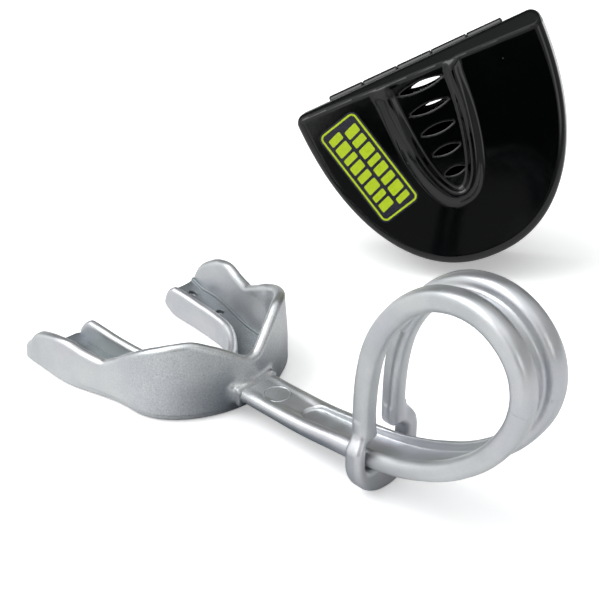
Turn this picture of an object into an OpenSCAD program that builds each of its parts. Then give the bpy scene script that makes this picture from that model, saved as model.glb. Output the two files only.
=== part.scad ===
// Strapped mouthguard with its clamshell case.
// Frame: +X runs from the guard along the strap to the loop, +Z is up, and
// z = 0 is the level plane that the tray, the keeper ring and the leaning
// case all rest on. The guard is centred on y = 0; the case stands on its +Y side.

/* [Mouthguard tray] */
// Half-width of the tray where the front arc ends
arch_half_w = 27; // [25:0.5:29]
// Half-width of the tray at the molars
rear_half_w = 32; // [30:0.5:34]
// Length of the front arc along X
arc_len = 20; // [18:0.5:22]
// Distance from the front of the tray to the molar ends
tray_len = 58; // [54:1:60]
// Thickness of the outer wall
wall_t = 3.2; // [2.6:0.1:3.8]
// Height of the biting floor above the underside
floor_h = 4; // [3.4:0.1:5]
// Thickness of the soft lining on the biting floor
liner_t = 1.2; // [0.8:0.1:1.6]
// Height of the outer wall over the molars
hump_h = 15.8; // [14:0.1:17]
// Height of the outer wall at the premolar dip
dip_h = 13.4; // [11:0.1:14]
// Height of the outer wall over the canines
canine_h = 24.6; // [22:0.1:26]
// Height of the outer wall at the front notch
notch_h = 16; // [14:0.1:18]
// Half-width of the tongue side of the tray
tongue_half_w = 14.2; // [13:0.1:15]
// Thickness of the tongue-side wall
tongue_t = 2.8; // [2.2:0.1:3]
// Height of the tongue-side wall
tongue_h = 10; // [8:0.1:11]

/* [Strap and loop] */
// Width of the flat strap
strap_w = 13.6; // [12:0.1:13.8]
// Thickness of the strap at its root
strap_t = 3.4; // [3:0.1:3.6]
// Rise of the strap from the tray to the keeper, degrees
strap_rise = 5.1; // [4.9:0.05:5.3]
// Thickness of the side rails of the loop
rail_t = 5.4; // [5:0.1:5.6]
// Distance between the centres of the two rails
rail_pitch = 10.6; // [10.4:0.1:11]
// Thickness of the web between the rails
web_t = 2; // [1.4:0.1:2.4]
// Half-width of the keeper ring
ring_r = 10.8; // [10.4:0.1:11.2]
// Half-width of the keeper ring's opening
ring_in = 7.3; // [7.2:0.05:7.5]

/* [Case] */
// Length of the straight hinge edge
case_w = 83.2; // [80:0.2:86]
// Depth from the hinge edge to the rounded end
case_d = 65; // [63:0.5:68]
// Height of the lid above the parting line
lid_h = 12; // [11:0.5:13]
// Height of the base below the parting line
base_h = 14; // [13:0.5:15]
// Wall thickness of both shells
shell_t = 2; // [1.8:0.1:2.2]
// Radius of the hinge knuckles
knuckle_r = 2.1; // [2:0.05:2.2]
// Radius of the hinge pin
pin_r = 0.9; // [0.8:0.05:1]
// Running clearance of the hinge pin
pin_gap = 0.05; // [0.03:0.01:0.08]
// Length of the hinge barrel
hinge_len = 60; // [56:1:62]
// Lean of the case from upright, degrees
case_lean = 18; // [16:1:18]
// Turn of the hinge edge from level, degrees
case_turn = 28.4; // [28:0.1:29]

/* [Hidden] */
$fn = 48;

guard_grey = [0.78, 0.79, 0.81];
liner_grey = [0.72, 0.73, 0.76];
strap_grey = [0.76, 0.77, 0.8];
case_black = [0.03, 0.03, 0.035];
pin_steel = [0.6, 0.6, 0.62];
badge_lime = [0.72, 0.85, 0.05];

// ---- shared helpers -------------------------------------------------------
function clamp01(t) = max(0, min(1, t));
function smooth(t) = let (c = clamp01(t)) c*c*(3 - 2*c);
// Cosine blend from a to b as t goes from 0 to 1
function ease(a, b, t) = a + (b - a)*(1 - cos(180*clamp01(t)))/2;
// Power that takes a negative base as zero
function safe_pow(base, power) = pow(max(base, 0), power);
function reversed(list) = [for (i = [len(list) - 1:-1:0]) list[i]];
function tail(list) = [for (i = [1:len(list) - 1]) list[i]];
// Closed outline that runs out along one line and back along the other
function between(line_a, line_b) = concat(line_a, reversed(line_b));
// Half outline from the centre line, completed by its mirror image in Y
function both_sides(half) = concat(reversed([for (p = half) [p[0], -p[1]]]), tail(half));
function unit(v) = v/norm(v);
// Left-hand normal of a plane direction
function left(v) = [-unit(v)[1], unit(v)[0]];

// Cubic Bezier curve with control points p, and its derivative
function bezier(p, t) = pow(1 - t, 3)*p[0] + 3*t*pow(1 - t, 2)*p[1]
                      + 3*t*t*(1 - t)*p[2] + t*t*t*p[3];
function bezier_dir(p, t) = 3*pow(1 - t, 2)*(p[1] - p[0]) + 6*t*(1 - t)*(p[2] - p[1])
                          + 3*t*t*(p[3] - p[2]);

// Turns an XZ drawing into a solid centred on y, w wide
module along_y(w) rotate([90, 0, 0]) linear_extrude(height = w, center = true) children();

// ---- dental arch ----------------------------------------------------------
front_x = -2.2;                       // front of the tray
arc_x = front_x - arc_len;            // where the front arc ends
rear_x = front_x - tray_len;          // molar ends
flare_len = 28;                       // length over which the arms widen
tongue_arc_x = -30;                   // where the tongue-side arc ends
tongue_arc_len = 13;
tongue_power = 0.62;                  // below 1 squares off the tongue-side arc
tray_span = 90;                       // wider than the tray
tray_top = 30;                        // above every wall

function half_w(x) = arch_half_w
    + (rear_half_w - arch_half_w)*smooth((arc_x - x)/flare_len);
// Outer outline set in by inset
function arch(inset) = both_sides(concat(
    [for (i = [0:24]) let (t = 90*i/24)
        [arc_x + (arc_len - inset)*cos(t), (arch_half_w - inset)*sin(t)]],
    [for (i = [1:12]) let (x = arc_x + (rear_x - arc_x)*i/12)
        [x, half_w(x) - inset]]));
// Tongue-side outline set out by outset
function tongue(outset) = both_sides(concat(
    [for (i = [0:18]) let (t = 90*i/18)
        [tongue_arc_x + (tongue_arc_len + outset)*safe_pow(cos(t), tongue_power),
         (tongue_half_w + outset)*safe_pow(sin(t), tongue_power)]],
    [[rear_x, tongue_half_w + outset]]));

// Height of the outer wall's rim at a station along X
hump_x = -45.5;
dip_x = -32.7;
peak_x = -10;
end_h = 7;
function rim_z(x) = x < hump_x ? ease(end_h, hump_h, (x - rear_x)/(hump_x - rear_x))
    : x < dip_x ? ease(hump_h, dip_h, (x - hump_x)/(dip_x - hump_x))
    : x < peak_x ? ease(dip_h, canine_h, (x - dip_x)/(peak_x - dip_x))
    : canine_h;

// Underside, turned up at the molar ends
turn_up_h = 4.4;
turn_up_len = 8;
function under_z(x) = turn_up_h*pow(clamp01((rear_x + turn_up_len - x)/turn_up_len), 2);

// Height of the tongue-side wall, lower across the front and at the ends
tongue_end_h = 7.5;
tongue_front_h = 7;
function tongue_z(x) = x < -45 ? ease(tongue_end_h, tongue_h, (x - rear_x)/15)
    : x < tongue_arc_x ? tongue_h
    : ease(tongue_h, tongue_front_h, (x - tongue_arc_x)/10);

// Stations along X, from just behind the tray to just ahead of it
side_xs = [for (i = [0:48]) rear_x - 1 + (tray_len + 3)*i/48];

// Everything between the underside and the top heights, one for each station
module side_prism(tops) along_y(tray_span) polygon(between(
    [for (x = side_xs) [x, under_z(x)]],
    [for (i = [0:len(side_xs) - 1]) let (x = side_xs[i])
        [x, max(under_z(x) + 0.5, tops[i])]]));

// Front block with a V notch in its top, and a plain block behind it
notch_half_w = 17;
notch_x = -12;                        // where the two blocks meet
block_h = 40;
block_half_w = 40;
function notch_z(y) = notch_h
    + (canine_h - notch_h)*pow(clamp01(abs(y)/notch_half_w), 0.6);
module notch_prism() {
    ys = [for (i = [-20:20]) notch_half_w*i/20];
    shoulder = notch_half_w + 0.01;
    translate([notch_x, 0, 0]) rotate([90, 0, 90]) linear_extrude(height = 20)
        polygon(concat(
            [[-block_half_w, 0], [block_half_w, 0],
             [block_half_w, block_h], [shoulder, block_h]],
            reversed([for (y = ys) [y, notch_z(y)]]),
            [[-shoulder, block_h], [-block_half_w, block_h]]));
    translate([-90, -tray_span/2, 0]) cube([90 + notch_x, tray_span, block_h]);
}

module guard_shell() color(guard_grey) {
    // outer wall with its scalloped rim
    intersection() {
        linear_extrude(height = tray_top) polygon(between(arch(0), arch(wall_t)));
        side_prism([for (x = side_xs) rim_z(x)]);
        notch_prism();
    }
    // tongue-side wall
    intersection() {
        linear_extrude(height = tray_top) polygon(between(tongue(tongue_t), tongue(0)));
        side_prism([for (x = side_xs) tongue_z(x)]);
    }
    // platform that reaches half-way into both walls
    intersection() {
        linear_extrude(height = tray_top)
            polygon(between(arch(wall_t/2), tongue(tongue_t/2)));
        side_prism([for (x = side_xs) floor_h - liner_t]);
    }
}

// Soft lining: a pad on the biting floor with a low upstand at the outer wall
liner_gap = 0.02;                     // gap between the lining and the walls
upstand_in = 1.2;                     // upstand's inner face, from the wall
upstand_h = 3;
module bite_liner() color(liner_grey) difference() {
    liner_edge = arch(wall_t + liner_gap);
    union() {
        translate([0, 0, floor_h - liner_t]) linear_extrude(height = liner_t)
            polygon(between(liner_edge, tongue(tongue_t + liner_gap)));
        translate([0, 0, floor_h - liner_t/2]) linear_extrude(height = upstand_h)
            polygon(between(liner_edge, arch(wall_t + upstand_in)));
    }
    // two round holes in the pad of the +Y arm
    for (x = [-54, -40.5]) translate([x, 22.3, 0]) cylinder(r = 1, h = 20);
    // clear of the turned-up molar ends
    translate([rear_x - 1, -50, 0]) cube([4.3, 100, 20]);
}

// ---- strap ----------------------------------------------------------------
root = [0.9, 6.9];                    // strap pivot line, x and z
rise = [cos(strap_rise), sin(strap_rise)];
ring_x = 47.5;                        // where the strap passes the keeper ring
strap_ring_t = 5.2;                   // upright thickness of the strap there
// Point on the strap's middle line, s along it from the root
function strap_at(s) = root + s*rise;
ring_p = strap_at((ring_x - root[0])/rise[0]);
feed_p = ring_p + 14*rise;            // where the strap turns into the loop
feed_dir = unit([1, 0.22]);           // the loop's direction there
feed_n = left(feed_dir);

// Round bar across the strap's pivot line
module root_bar(r, w) translate([root[0], 0, root[1]]) rotate([90, 0, 0])
    cylinder(r = r, h = w, center = true);

// Moulded block that holds the strap's rounded root on the front of the tray
socket_w = 16;
socket_z = 4.3;
socket_h = 5.2;
socket_bury = 0.6;                    // overlap behind the tray's front
seat_w = strap_w + 0.3;
module socket_block() translate([front_x - socket_bury, -socket_w/2, socket_z])
    cube([root[0] - front_x + socket_bury, socket_w, socket_h]);
module strap_socket() color(guard_grey) difference() {
    socket_block();
    // seat for the rounded root
    root_bar(strap_t/2 + 0.1, seat_w);
    // open above the seat, so the strap can bend up
    translate([root[0] - 1.4, -seat_w/2, root[1] + 0.8]) cube([3, seat_w, 5]);
    // the block starts at the tray's outer face
    linear_extrude(height = tray_top) polygon(arch(0));
}

// Flat strap that thickens towards the loop, recessed along its top
recess_r = 3.6;
recess_z = 1.6;                       // recess floor above the middle line
module strap_strip() color(strap_grey) difference() {
    union() {
        root_bar(strap_t/2, strap_w);
        along_y(strap_w) polygon([
            root - [0, strap_t/2],
            ring_p - [0, strap_ring_t/2],
            feed_p - feed_n*rail_t/2,
            feed_p + feed_n*rail_t/2,
            ring_p + [0, strap_ring_t/2],
            root + [0, strap_t/2]]);
    }
    // recessed panel with a round end
    translate([root[0], 0, root[1]]) rotate([0, -strap_rise, 0]) hull() {
        translate([22, 0, recess_z]) cylinder(r = recess_r, h = 6, $fn = 32);
        translate([80, 0, recess_z]) cylinder(r = recess_r, h = 6, $fn = 32);
    }
}

// ---- loop -----------------------------------------------------------------
// Turning points of the loop's middle line, x and z
loop_right = [93.9, 52];
loop_top = [76, 68.1];
loop_left = [46.5, 30];
ring_top = 19.5;                      // height where the loop meets the ring
loop_shift = -0.05;                   // X shift of the return rails and the ring
rail_gap = rail_pitch - rail_t;       // clear width between the rails
web_w = rail_gap + 0.4;               // the web runs slightly into both rails

// Control points of the three curves
feed_curve = [feed_p, feed_p + 15*feed_dir, [loop_right[0], 33], loop_right];
top_curve = [loop_right, loop_right + [0, 8.9], loop_top + [9.9, 0], loop_top];
return_curve = [loop_top, loop_top - [15.4, 0], loop_left + [0, 20], loop_left];

// Stations along a curve, each a point and its left-hand normal
function path(curve, n) =
    [for (i = [0:n]) [bezier(curve, i/n), left(bezier_dir(curve, i/n))]];
feed_path = concat(path(feed_curve, 24), tail(path(top_curve, 12)));
return_path = concat(path(return_curve, 24), [[[loop_left[0], ring_top], [1, 0]]]);

module band(stations, t) polygon(between(
    [for (q = stations) q[0] + q[1]*t/2],
    [for (q = stations) q[0] - q[1]*t/2]));
module rails(stations) for (side = [-1, 1])
    translate([0, side*rail_pitch/2, 0]) along_y(rail_t) band(stations, rail_t);

// Two rails and a web: the part of the loop that rises from the strap
module loop_feed() color(guard_grey) {
    rails(feed_path);
    along_y(web_w) band(feed_path, web_t);
}

// Two rails joined near the top only: the part that comes back down
module loop_return() color(guard_grey) translate([loop_shift, 0, 0]) {
    rails(return_path);
    along_y(web_w) band([for (i = [0:13]) return_path[i]], web_t);
}

// Slotted ring at the end of the loop that the strap runs through
ring_len = 5.2;                       // length along X
ring_shoulder = 15.5;                 // height where the sides turn inwards
module keeper_ring() color(guard_grey) {
    rails_half_w = rail_pitch/2 + rail_t/2;
    translate([ring_x - 2.7 + loop_shift, 0, 0]) rotate([90, 0, 90])
        linear_extrude(height = ring_len) difference() {
            polygon(concat(
                [for (i = [0:32]) let (t = 180 + 180*i/32) ring_r*[cos(t), 1 + sin(t)]],
                [[ring_r, ring_shoulder], [rails_half_w, ring_top],
                 [-rails_half_w, ring_top], [-ring_r, ring_shoulder]]));
            // opening for the strap, then the slot between the rails
            translate([-ring_in, 8.1]) square([2*ring_in, 7.6]);
            translate([-rail_gap/2, 12]) square([rail_gap, 10]);
        }
}

// ---- case -----------------------------------------------------------------
// Case frame: x along the hinge edge, y from the rounded end to the hinge
// edge, z out of the lid. Its origin is the middle of the hinge edge on the
// parting line.
facing = 36;                          // turn of the lid's face about Z
case_at = [-40.4, 106.1, 61.05];
module in_case() translate(case_at) rotate([0, 0, facing])
    rotate([90 - case_lean, 0, 0]) rotate([0, 0, case_turn]) children();

// D outline set in by inset: a squarish half oval with cut hinge corners
corner = 3.5;
oval_power = 0.91;                    // below 1 squares off the oval
function d_outline(inset) =
    let (half = case_w/2 - inset, depth = case_d - inset, cut = 0.3*corner)
    concat(
        [for (i = [0:48]) let (t = 180*i/48, c = cos(t), s = sin(t))
            [sign(c)*half*safe_pow(abs(c), oval_power),
             -inset - (depth - inset)*safe_pow(s, oval_power) - (s < 0.05 ? corner : 0)]],
        [[-half + cut, -inset - cut], [-half + corner, -inset],
         [half - corner, -inset], [half - cut, -inset - cut]]);
module d_plate(inset, z0, z1) translate([0, 0, z0])
    linear_extrude(height = z1 - z0) polygon(d_outline(inset));

part_gap = 0.01;                      // half of the gap between the closed halves
case_bevel = 4.5;
// Convex body of one half: straight side, then a bevel to a flat face.
// The set-in one reaches past the parting line, to cut out the inside.
module half_body(h, inset, bevel) hull() {
    d_plate(inset, inset > 0 ? -1 : part_gap, h*0.6 - inset/2);
    d_plate(bevel + inset*0.6, h - inset - 0.02, h - inset);
}

// Hinge: the base has the even knuckles, the lid the odd ones
hinge_y = 0.4;                        // hinge axis, just outside the edge
knuckles = 5;
knuckle_l = hinge_len/knuckles;
knuckle_gap = 0.1;                    // end clearance of each knuckle
notch_own = 1.5;                      // notch reach into the half it cuts
notch_past = 1.1;                     // notch reach past the parting line
module along_hinge(x) translate([x, hinge_y, 0]) rotate([0, 90, 0]) children();
module barrel(r, first, gap) for (i = [first:2:knuckles - 1])
    along_hinge(-hinge_len/2 + i*knuckle_l + gap) cylinder(r = r, h = knuckle_l - 2*gap);
// Clear space around the other half's knuckles
module knuckle_room(first) barrel(knuckle_r + 0.15, first, -knuckle_gap);
// Notches through the hinge wall of one half, from z0 to z1
module wall_notches(first, z0, z1) for (i = [first:2:knuckles - 1])
    translate([-hinge_len/2 + i*knuckle_l - knuckle_gap, -shell_t - 0.3, z0])
        cube([knuckle_l + 2*knuckle_gap, shell_t + 0.6, z1 - z0]);
module pin_bore() along_hinge(-hinge_len/2 - 1)
    cylinder(r = pin_r + pin_gap, h = hinge_len + 2);

// Lens-shaped vent: where two equal discs overlap
module lens(length, width) {
    r = (length*length/4 + width*width/4)/width;
    intersection() {
        translate([0, r - width/2]) circle(r = r, $fn = 96);
        translate([0, width/2 - r]) circle(r = r, $fn = 96);
    }
}

// Row of vents that shorten away from the hinge, in a raised tapered panel
panel_x = -0.7;                       // centre line of the vents and the panel
panel_rise = 1.8;                     // panel rim above the lid
panel_floor = 0.6;                    // panel floor above the lid
vent_count = 5;
base_vent_count = 2;
vent_w = 3.3;
function vent_y(i) = -6.3 - 7.1*i;
function vent_l(i) = 14.6 - 1.75*i;
module vents(count, h) for (i = [0:count - 1]) translate([panel_x, vent_y(i), -20])
    linear_extrude(height = h) rotate([0, 0, 1]) lens(vent_l(i), vent_w);

// Shield outline of half-width w, from y = -2.5 to a point at y = tip
function shield_side(w, tip) = [for (i = [0:16]) let (t = i/16)
    [w*safe_pow(1 - pow(t, 2.1), 0.75), -2.5 + (tip + 2.5)*t]];
function shield(w, tip) = let (side = shield_side(w, tip))
    concat([for (p = side) [-p[0], p[1]]], tail(reversed(side)));

module case_lid() color(case_black) in_case() difference() {
    union() {
        difference() {
            half_body(lid_h, 0, case_bevel);
            half_body(lid_h, shell_t, case_bevel);
            knuckle_room(0);
            wall_notches(0, -notch_past, notch_own);
        }
        barrel(knuckle_r, 1, knuckle_gap);
        // raised vent panel
        intersection() {
            translate([panel_x, 0, lid_h - shell_t])
                linear_extrude(height = shell_t + panel_rise) polygon(shield(11.5, -46));
            half_body(lid_h + panel_rise, 0, 5);
        }
    }
    // sunk floor of the panel
    translate([panel_x, -1, lid_h + panel_floor])
        linear_extrude(height = 5) polygon(shield(8.6, -41));
    vents(vent_count, 60);
    pin_bore();
}

lip_in = shell_t + 1.4;               // inset of the lip's inner face
module case_base() color(case_black) in_case() difference() {
    union() {
        difference() {
            mirror([0, 0, 1]) half_body(base_h, 0, case_bevel);
            mirror([0, 0, 1]) half_body(base_h, shell_t, case_bevel);
            knuckle_room(1);
            wall_notches(1, -notch_own, notch_past);
        }
        // locating lip that stands inside the lid, except along the hinge
        difference() {
            d_plate(shell_t + 0.25, -3, 1.6);
            d_plate(lip_in, -4, 2);
            translate([-60, -4.2, -0.05]) cube([120, 6, 4]);
            knuckle_room(1);
        }
        // lip root, joined to the wall below the parting line
        difference() {
            d_plate(shell_t - 0.3, -3, -0.3);
            d_plate(lip_in, -4, 2);
            knuckle_room(1);
        }
        barrel(knuckle_r, 0, knuckle_gap);
    }
    // matching vents under the first two of the lid
    vents(base_vent_count, 18);
    pin_bore();
}

pin_inset = 0.3;                      // pin end inside the barrel's end
module hinge_pin() color(pin_steel) in_case() along_hinge(-hinge_len/2 + pin_inset)
    cylinder(r = pin_r, h = hinge_len - 2*pin_inset);

// Plain sticker: a rounded strip beside the vent panel
badge_w = 14;
badge_l = 33.6;
badge_r = 2;
module lid_badge() color(badge_lime) in_case()
    translate([-25.6, -22.4, lid_h + 0.02]) rotate([0, 0, 13.7])
    translate([-badge_w/2, -badge_l/2, 0]) linear_extrude(height = 0.3) union() {
        translate([badge_r, 0]) square([badge_w - 2*badge_r, badge_l]);
        translate([0, badge_r]) square([badge_w, badge_l - 2*badge_r]);
        for (x = [badge_r, badge_w - badge_r]) for (y = [badge_r, badge_l - badge_r])
            translate([x, y]) circle(r = badge_r);
    }

guard_shell();
bite_liner();
strap_socket();
strap_strip();
loop_feed();
loop_return();
keeper_ring();
case_base();
case_lid();
hinge_pin();
lid_badge();
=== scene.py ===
"""Mouthguard with a strap, and its vented case.

The tray lies on the floor, its front towards +x and its arms towards -x. The strap leaves
the front along +x, loops up and over, and comes back down to a keeper ring standing round
the strap. The closed D-shaped case is propped up behind, towards +y.
Lengths are millimetres, except in shaders, frame links and the floor, which use metres.
"""

import math

import bpy
import numpy as np
from mathutils import Matrix


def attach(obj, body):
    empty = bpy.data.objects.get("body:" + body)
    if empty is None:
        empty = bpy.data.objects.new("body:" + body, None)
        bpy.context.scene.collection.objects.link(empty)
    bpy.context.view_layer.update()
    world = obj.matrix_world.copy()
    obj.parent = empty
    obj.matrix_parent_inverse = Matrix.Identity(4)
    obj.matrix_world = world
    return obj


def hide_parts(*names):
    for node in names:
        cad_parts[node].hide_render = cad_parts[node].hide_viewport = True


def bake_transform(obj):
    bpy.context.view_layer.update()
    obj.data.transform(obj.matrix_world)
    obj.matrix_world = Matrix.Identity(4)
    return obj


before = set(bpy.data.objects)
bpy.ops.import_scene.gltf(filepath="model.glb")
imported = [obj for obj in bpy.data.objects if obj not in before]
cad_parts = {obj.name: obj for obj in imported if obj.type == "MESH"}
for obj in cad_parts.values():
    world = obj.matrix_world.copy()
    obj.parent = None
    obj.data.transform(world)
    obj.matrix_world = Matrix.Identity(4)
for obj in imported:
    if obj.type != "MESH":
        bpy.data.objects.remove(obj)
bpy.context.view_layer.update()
COARSE = 1.0  # scale of the surface cells

# ---------------------------------------------------------------------------
# Distance fields: negative inside, positive outside
# ---------------------------------------------------------------------------


def ease(t):
    t = np.clip(t, 0.0, 1.0)
    return t * t * (3 - 2 * t)


def smin(a, b, width):
    """Union with a fillet."""
    share = np.clip(0.5 + 0.5 * (b - a) / width, 0.0, 1.0)
    return b + (a - b) * share - width * share * (1 - share)


def smax(a, b, width):
    """Intersection with a softened edge."""
    return -smin(-a, -b, width)


def round_and(a, b, radius):
    """Intersection with a convex edge of the given radius."""
    outside = np.hypot(np.maximum(a + radius, 0), np.maximum(b + radius, 0))
    return np.minimum(np.maximum(a, b), -radius) + outside


def round_box(x, y, z, centre, half, radius):
    x, y, z = (abs(p - c) - h + radius for p, c, h in zip((x, y, z), centre, half))
    out = np.sqrt(np.maximum(x, 0) ** 2 + np.maximum(y, 0) ** 2 + np.maximum(z, 0) ** 2)
    return out + np.minimum(np.maximum(np.maximum(x, y), z), 0) - radius


def pchip(knots, values):
    """Shape-preserving cubic through the knots, as a function."""
    knots, values = np.array(knots, float), np.array(values, float)
    gap, slope = np.diff(knots), np.diff(values) / np.diff(knots)
    tangent = np.zeros(len(knots))
    for i in range(1, len(knots) - 1):
        if slope[i - 1] * slope[i] > 0:
            before, after = 2 * gap[i] + gap[i - 1], gap[i] + 2 * gap[i - 1]
            tangent[i] = (before + after) / (before / slope[i - 1] + after / slope[i])

    def curve(x):
        x = np.clip(x, knots[0], knots[-1])
        i = np.clip(np.searchsorted(knots, x) - 1, 0, len(gap) - 1)
        t = (x - knots[i]) / gap[i]
        return (values[i] * (1 + 2 * t) * (1 - t) ** 2 + values[i + 1] * t * t * (3 - 2 * t)
                + gap[i] * (tangent[i] * t * (1 - t) ** 2 - tangent[i + 1] * t * t * (1 - t)))
    return curve


def spline(points, steps, closed=False):
    """Centripetal Catmull-Rom spline, with the given steps per span."""
    pts = np.array(points, float)
    if closed:
        pts = np.vstack([pts[-1], pts, pts[0], pts[1]])
    else:
        pts = np.vstack([2 * pts[0] - pts[1], pts, 2 * pts[-1] - pts[-2]])
    out = []
    for i in range(1, len(pts) - 2):
        quad = pts[i - 1:i + 3]
        knot = [0.0]
        for j in range(3):
            knot.append(knot[-1] + max(np.linalg.norm(quad[j + 1] - quad[j]), 1e-6) ** 0.5)

        def blend(row, j, span, t):
            return (((knot[j + span] - t) * row[j] + (t - knot[j]) * row[j + 1])
                    / (knot[j + span] - knot[j]))

        for t in np.linspace(knot[1], knot[2], steps, endpoint=False):
            first = [blend(quad, j, 1, t) for j in range(3)]
            second = [blend(first, j, 2, t) for j in range(2)]
            out.append(((knot[2] - t) * second[0] + (t - knot[1]) * second[1])
                       / (knot[2] - knot[1]))
    if not closed:
        out.append(pts[-2])
    return np.array(out)


def poly_field(x, y, points, closed=True):
    """Distance to a polyline (negative inside a closed one, positive to the left of an
    open one) and the arc length of the nearest point on it."""
    shape = np.broadcast(x, y).shape
    x, y = np.broadcast_to(x, shape).ravel(), np.broadcast_to(y, shape).ravel()
    nearest = np.full(x.size, 1e18)
    arc, side = np.zeros(x.size), np.zeros(x.size)
    inside = np.zeros(x.size, bool)
    length, count = 0.0, len(points)
    if not closed:
        edge = np.gradient(np.array(points, float), axis=0)
        edge /= np.linalg.norm(edge, axis=1)[:, None]
        normal = np.stack([-edge[:, 1], edge[:, 0]], 1)
    for i in range(count if closed else count - 1):
        start, end = points[i], points[(i + 1) % count]
        edge_x, edge_y = end[0] - start[0], end[1] - start[1]
        square = edge_x * edge_x + edge_y * edge_y
        if square < 1e-14:
            continue
        off_x, off_y = x - start[0], y - start[1]
        t = np.clip((off_x * edge_x + off_y * edge_y) / square, 0, 1)
        off_x, off_y = off_x - t * edge_x, off_y - t * edge_y
        dist = off_x * off_x + off_y * off_y
        closer = dist < nearest
        nearest[closer] = dist[closer]
        arc[closer] = length + t[closer] * math.sqrt(square)
        if not closed:
            t = t[closer]
            side[closer] = (off_x[closer] * (normal[i, 0] * (1 - t) + normal[i + 1, 0] * t)
                            + off_y[closer] * (normal[i, 1] * (1 - t) + normal[i + 1, 1] * t))
        elif edge_y != 0:
            crossed = (start[1] <= y) != (end[1] <= y)
            inside ^= crossed & (x < start[0] + (y - start[1]) * edge_x / edge_y)
        length += math.sqrt(square)
    if closed:
        dist = np.sqrt(nearest)
        side = np.where(inside, -dist, dist)
    return side.reshape(shape), arc.reshape(shape)


# ---------------------------------------------------------------------------
# Meshes from fields
# ---------------------------------------------------------------------------


def gradient(field, verts, step):
    grad = np.empty_like(verts)
    for k in range(3):
        ahead, behind = verts.copy(), verts.copy()
        ahead[:, k] += step
        behind[:, k] -= step
        grad[:, k] = (field(*ahead.T) - field(*behind.T)) / (2 * step)
    return grad


def surface(field, low, high, cell, rounds=2):
    """Quads on the zero surface: one vertex per crossed cell, relaxed along the surface
    and then moved exactly onto it."""
    cell *= COARSE
    low, high = np.array(low, float), np.array(high, float)
    size = np.ceil((high - low) / cell).astype(int) + 1
    dist = field(*np.ix_(*[low[k] + cell * np.arange(size[k]) for k in range(3)]))
    dist = np.ascontiguousarray(np.broadcast_to(dist, tuple(size)), dtype=np.float32)
    solid = dist < 0
    cells = tuple(size - 1)

    # each cell's vertex is the mean of the crossings on its twelve edges
    hits = np.zeros(cells, np.float32)
    total = [np.zeros(cells, np.float32) for _ in range(3)]
    crossings = []
    for k in range(3):
        first, second = [slice(None)] * 3, [slice(None)] * 3
        first[k], second[k] = slice(0, -1), slice(1, None)
        first, second = tuple(first), tuple(second)
        crossed = solid[first] != solid[second]
        with np.errstate(divide="ignore", invalid="ignore"):
            where = dist[first] / (dist[first] - dist[second])
            where = np.where(crossed, where, 0).astype(np.float32)
        crossings.append(crossed)
        across = [q for q in range(3) if q != k]
        for i in (0, 1):
            for j in (0, 1):
                window = [slice(None)] * 3
                window[across[0]] = slice(i, i + cells[across[0]])
                window[across[1]] = slice(j, j + cells[across[1]])
                part = crossed[tuple(window)]
                hits += part
                total[k] += where[tuple(window)]
                if i:
                    total[across[0]] += part
                if j:
                    total[across[1]] += part
    used = hits > 0
    index = np.full(cells, -1, np.int64)
    index[used] = np.arange(used.sum())
    base = np.argwhere(used).astype(float)
    verts = np.stack([base[:, k] + total[k][used] / hits[used] for k in range(3)], 1)
    verts = verts * cell + low

    # one quad round each crossed grid edge
    quads = []
    for k in range(3):
        across = [(k + 1) % 3, (k + 2) % 3]
        edges = np.argwhere(crossings[k])
        keep = np.ones(len(edges), bool)
        for q in across:
            keep &= (edges[:, q] > 0) & (edges[:, q] < cells[q])
        edges = edges[keep]
        inside = solid[tuple(edges.T)]
        ring = []
        for i, j in ((-1, -1), (0, -1), (0, 0), (-1, 0)):
            corner = edges.copy()
            corner[:, across[0]] += i
            corner[:, across[1]] += j
            ring.append(index[tuple(corner.T)])
        ring = np.stack(ring, 1)
        ring[~inside] = ring[~inside][:, ::-1]
        quads.append(ring)
    quads = np.vstack(quads)

    start, end = quads.T.ravel(), np.roll(quads, -1, axis=1).T.ravel()
    both = np.concatenate([start, end])
    degree = np.bincount(both, minlength=len(verts)).astype(float)
    steps = rounds
    for i in range(steps + 1):
        for _ in range(1 if i == steps else 2):
            value = field(*verts.T)
            grad = gradient(field, verts, 0.03)
            move = (value / np.maximum((grad * grad).sum(1), 0.05))[:, None] * grad
            size = np.linalg.norm(move, axis=1)
            verts = verts - move * np.minimum(1, 0.6 * cell / np.maximum(size, 1e-9))[:, None]
        if i < steps:
            mean = np.stack([np.bincount(both, np.concatenate([verts[end, k], verts[start, k]]),
                                         len(verts)) for k in range(3)], 1) / degree[:, None]
            verts = verts + 0.5 * (mean - verts)
    return verts, quads


def mesh_object(name, verts, faces, mats, face_mat=None, place=None, smooth=True):
    """place is an optional (3x3, origin) from a local frame to the scene's."""
    verts = np.asarray(verts, float)
    if place is not None:
        verts = verts @ place[0].T + place[1]
    mesh = bpy.data.meshes.new(name)
    mesh.from_pydata((verts / 1000).tolist(), [], [list(map(int, face)) for face in faces])
    mesh.update()
    part = bpy.data.objects.new(name, mesh)
    bpy.context.scene.collection.objects.link(part)
    for mat in mats:
        mesh.materials.append(mat)
    mesh.polygons.foreach_set("use_smooth", np.full(len(mesh.polygons), smooth))
    if face_mat is not None:
        mesh.polygons.foreach_set("material_index", np.asarray(face_mat, np.int32))
    return part


def solid_object(name, field, low, high, cell, mat, rounds=2, place=None):
    return mesh_object(name, *surface(field, low, high, cell, rounds), [mat], place=place)


# ---------------------------------------------------------------------------
# Shader graphs
# ---------------------------------------------------------------------------


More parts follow.
